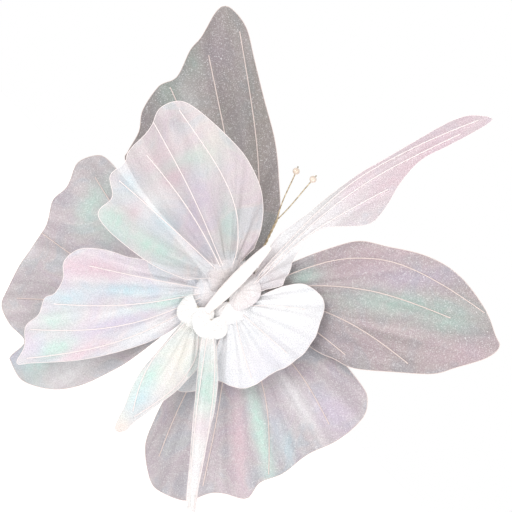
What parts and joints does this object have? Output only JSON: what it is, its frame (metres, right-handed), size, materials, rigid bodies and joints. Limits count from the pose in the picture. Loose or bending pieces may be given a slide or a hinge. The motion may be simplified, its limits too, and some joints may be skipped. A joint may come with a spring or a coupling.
{
  "type": "costume fairy wings",
  "caption": "Costume butterfly wings: two layers of hinged, wire-ribbed organza wings on a sew-on back plate, with a padded body, tail streamers and pearl-tipped antennae.",
  "frame": {"origin": "centre of the backing plate's rear face, the face that rests on the wearer's back", "axes": "+Z towards the wearer's head, +X towards the right wings as seen from behind the wearer, +Y into the wearer's back"},
  "size_m": [0.5002, 0.1547, 0.5634],
  "materials": {
    "rear_organza": "iridescent glitter organza, translucent",
    "front_organza": "iridescent pale organza, translucent",
    "tail_organza": "iridescent pale organza, translucent",
    "covered_wire": "cotton-covered wire, matte",
    "hinge_wire": "drawn wire",
    "ferrule": "satin",
    "body_fabric": "cream satin organza, padded",
    "thread": "cotton thread",
    "filling": "polyester fibre",
    "felt": "pressed felt",
    "plate": "matte",
    "eyelet": "polished",
    "antenna_wire": "satin",
    "pearl": "pearlescent"
  },
  "bodies": {
    "body": {"backing_felt": "felt", "backing_plate": "plate", "strap_eyelets": "eyelet", "left_rear_hinge_wire": "hinge_wire", "right_rear_hinge_wire": "hinge_wire", "left_front_hinge_wire": "hinge_wire", "right_front_hinge_wire": "hinge_wire", "tail_hinge_wire": "hinge_wire", "antenna_hinge_wire": "hinge_wire", "body_wire": "hinge_wire", "body_filling": "filling", "body_cover": "body_fabric", "body_bindings": "thread"},
    "left_rear_forewing": {"left_rear_forewing_clamp": "ferrule", "left_rear_forewing_ribs": "covered_wire", "left_rear_forewing_organza": "rear_organza"},
    "right_rear_forewing": {"right_rear_forewing_clamp": "ferrule", "right_rear_forewing_ribs": "covered_wire", "right_rear_forewing_organza": "rear_organza"},
    "left_rear_hindwing": {"left_rear_hindwing_clamp": "ferrule", "left_rear_hindwing_ribs": "covered_wire", "left_rear_hindwing_organza": "rear_organza"},
    "right_rear_hindwing": {"right_rear_hindwing_clamp": "ferrule", "right_rear_hindwing_ribs": "covered_wire", "right_rear_hindwing_organza": "rear_organza"},
    "left_front_forewing": {"left_front_forewing_clamp": "ferrule", "left_front_forewing_ribs": "covered_wire", "left_front_forewing_organza": "front_organza"},
    "right_front_forewing": {"right_front_forewing_clamp": "ferrule", "right_front_forewing_ribs": "covered_wire", "right_front_forewing_organza": "front_organza"},
    "left_front_hindwing": {"left_front_hindwing_clamp": "ferrule", "left_front_hindwing_ribs": "covered_wire", "left_front_hindwing_organza": "front_organza"},
    "right_front_hindwing": {"right_front_hindwing_clamp": "ferrule", "right_front_hindwing_ribs": "covered_wire", "right_front_hindwing_organza": "front_organza"},
    "left_tail": {"left_tail_clamp": "ferrule", "left_tail_wires": "covered_wire", "left_tail_organza": "tail_organza"},
    "right_tail": {"right_tail_clamp": "ferrule", "right_tail_wires": "covered_wire", "right_tail_organza": "tail_organza"},
    "antennae": {"antenna_clamp": "ferrule", "left_antenna_stem": "antenna_wire", "right_antenna_stem": "antenna_wire", "left_pearl": "pearl", "right_pearl": "pearl"}
  },
  "joints": [
    {"name": "left_rear_forewing_flap", "type": "hinge", "parent": "body", "child": "left_rear_forewing", "pos_m": [-0.012, -0.009, 0.012], "axis": [0, 0, 1], "range_deg": [-20, 10]},
    {"name": "right_rear_forewing_flap", "type": "hinge", "parent": "body", "child": "right_rear_forewing", "pos_m": [0.012, -0.009, 0.012], "axis": [0, 0, -1], "range_deg": [-5, 5]},
    {"name": "left_rear_hindwing_flap", "type": "hinge", "parent": "body", "child": "left_rear_hindwing", "pos_m": [-0.012, -0.009, -0.008], "axis": [0, 0, 1], "range_deg": [-20, 6]},
    {"name": "right_rear_hindwing_flap", "type": "hinge", "parent": "body", "child": "right_rear_hindwing", "pos_m": [0.012, -0.009, -0.008], "axis": [0, 0, -1], "range_deg": [-15, 4]},
    {"name": "left_front_forewing_flap", "type": "hinge", "parent": "body", "child": "left_front_forewing", "pos_m": [-0.009, -0.017, 0.008], "axis": [0, 0, 1], "range_deg": [-18, 25]},
    {"name": "right_front_forewing_flap", "type": "hinge", "parent": "body", "child": "right_front_forewing", "pos_m": [0.009, -0.017, 0.008], "axis": [0, 0, -1], "range_deg": [-10, 15]},
    {"name": "left_front_hindwing_flap", "type": "hinge", "parent": "body", "child": "left_front_hindwing", "pos_m": [-0.009, -0.017, -0.008], "axis": [0, 0, 1], "range_deg": [-6, 15]},
    {"name": "right_front_hindwing_flap", "type": "hinge", "parent": "body", "child": "right_front_hindwing", "pos_m": [0.009, -0.017, -0.008], "axis": [0, 0, -1], "range_deg": [-4, 10]},
    {"name": "left_tail_tilt", "type": "hinge", "parent": "body", "child": "left_tail", "pos_m": [-0.01, -0.024, -0.0365], "axis": [-1, 0, 0], "range_deg": [-5, 4]},
    {"name": "right_tail_tilt", "type": "hinge", "parent": "body", "child": "right_tail", "pos_m": [0.01, -0.024, -0.0365], "axis": [-1, 0, 0], "range_deg": [-5, 25]},
    {"name": "antennae_tilt", "type": "hinge", "parent": "body", "child": "antennae", "pos_m": [0, -0.01, 0.035], "axis": [1, 0, 0], "range_deg": [-10, 20]}
  ]
}
